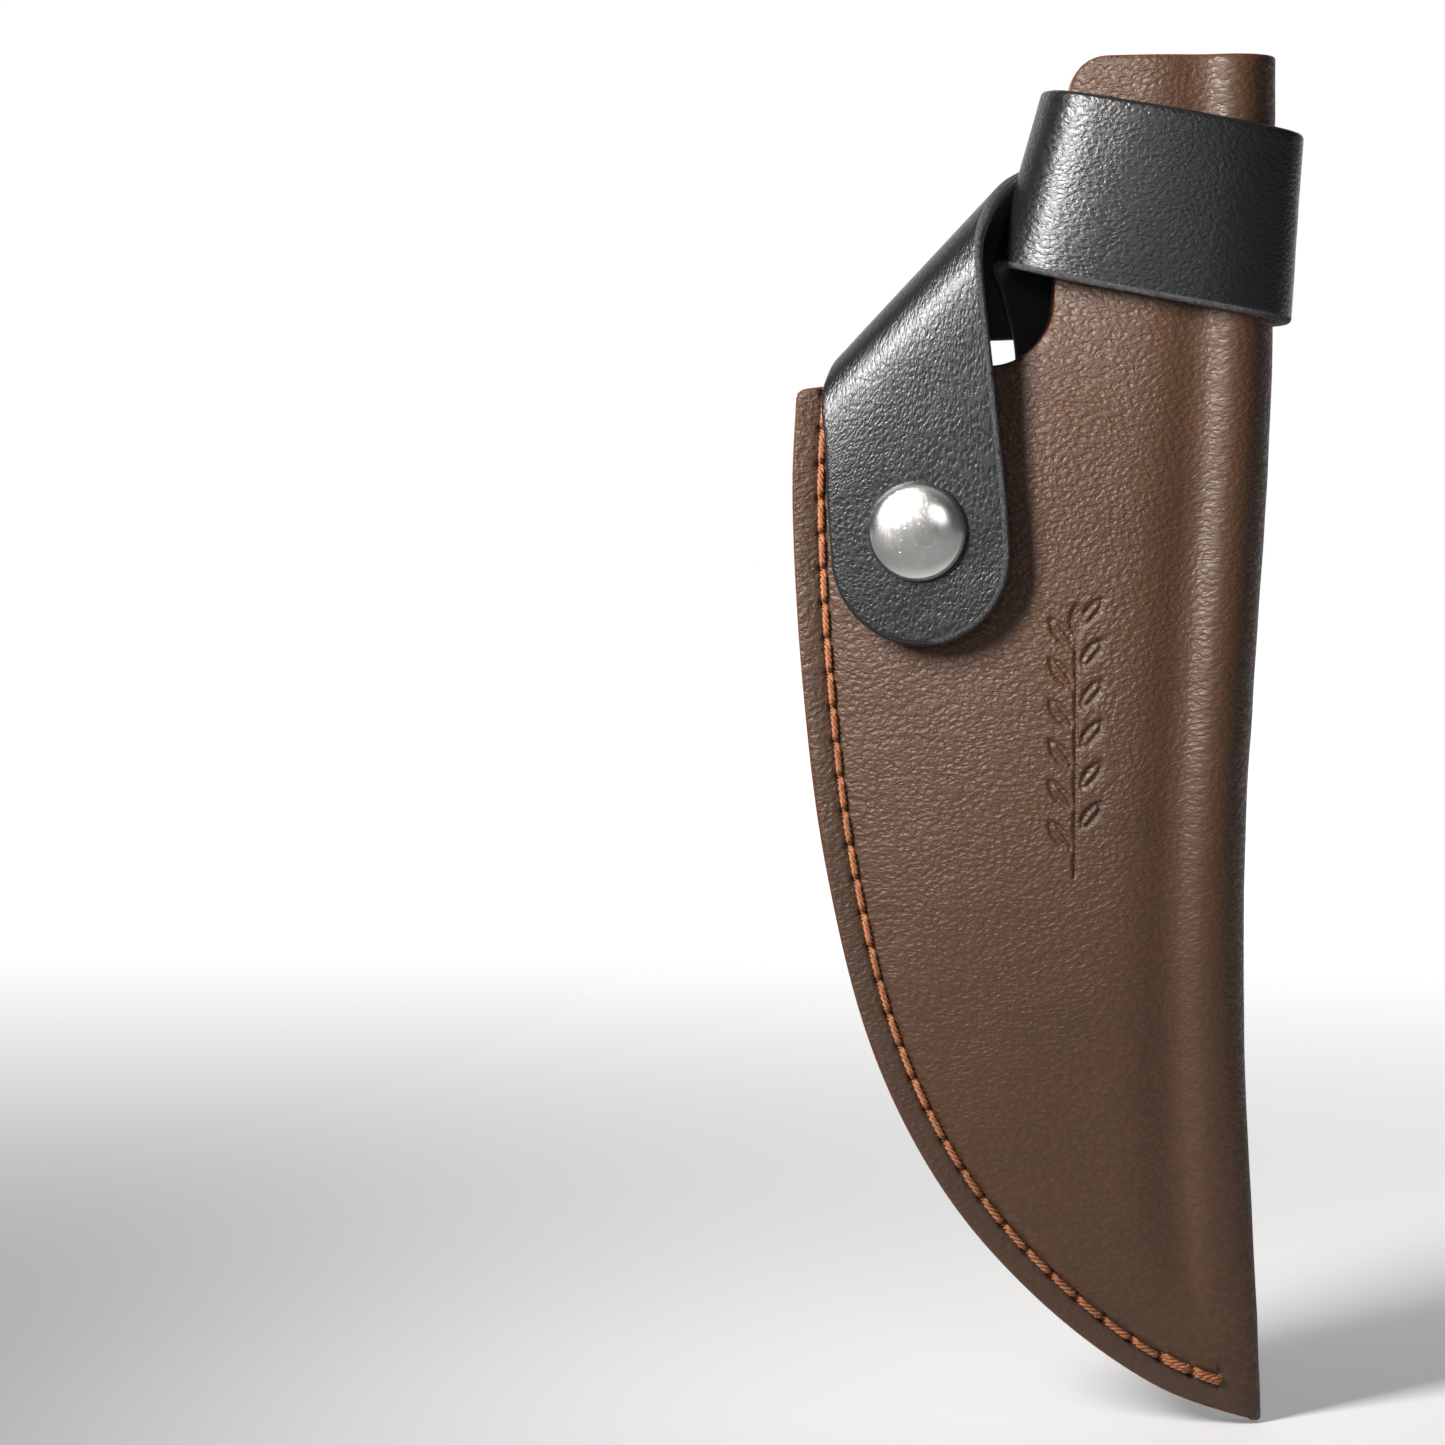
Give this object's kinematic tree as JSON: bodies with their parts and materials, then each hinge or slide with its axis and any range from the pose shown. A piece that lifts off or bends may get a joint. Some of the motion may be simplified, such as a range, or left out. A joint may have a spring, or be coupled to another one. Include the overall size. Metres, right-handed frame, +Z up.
{
  "type": "knife sheath",
  "caption": "Curved leather knife sheath with a sewn edge, a black wrap strap that folds over the mouth to a press snap, and a riveted belt loop on its back.",
  "frame": {"origin": "middle of the belt loop's channel, where a belt holds the sheath up", "axes": "+Z up along the sheath from its tip to its tab, +Y out of its back towards the wearer, +X across it towards the folded spine; the front with the snap faces -Y"},
  "size_m": [0.0796, 0.0273, 0.2164],
  "materials": {
    "brown_leather": "finely pebbled, satin",
    "black_leather": "finely pebbled, satin",
    "welt_leather": "raw cut edge, matte",
    "orange_thread": "twisted waxed thread",
    "nickel": "softly polished nickel",
    "spring_steel": "bright wire"
  },
  "bodies": {
    "sheath": {"sheath_body": "brown_leather", "welt": "welt_leather", "front_thread": "orange_thread", "back_thread": "orange_thread", "strap_band": "black_leather", "snap_stud": "nickel", "snap_post": "nickel", "belt_loop": "brown_leather", "rivet_cap_upper_left": "nickel", "rivet_post_upper_left": "nickel", "rivet_cap_upper_right": "nickel", "rivet_post_upper_right": "nickel", "rivet_cap_lower_left": "nickel", "rivet_post_lower_left": "nickel", "rivet_cap_lower_right": "nickel", "rivet_post_lower_right": "nickel"},
    "strap_end": {"strap_tail": "black_leather", "snap_cap": "nickel", "snap_socket": "nickel", "snap_spring": "spring_steel"}
  },
  "joints": [
    {"name": "strap_open", "type": "hinge", "parent": "sheath", "child": "strap_end", "pos_m": [-0.02768, -0.00797, 0.05893], "axis": [-0.6797, 0.0917, -0.7277], "range_deg": [0, 150]}
  ]
}
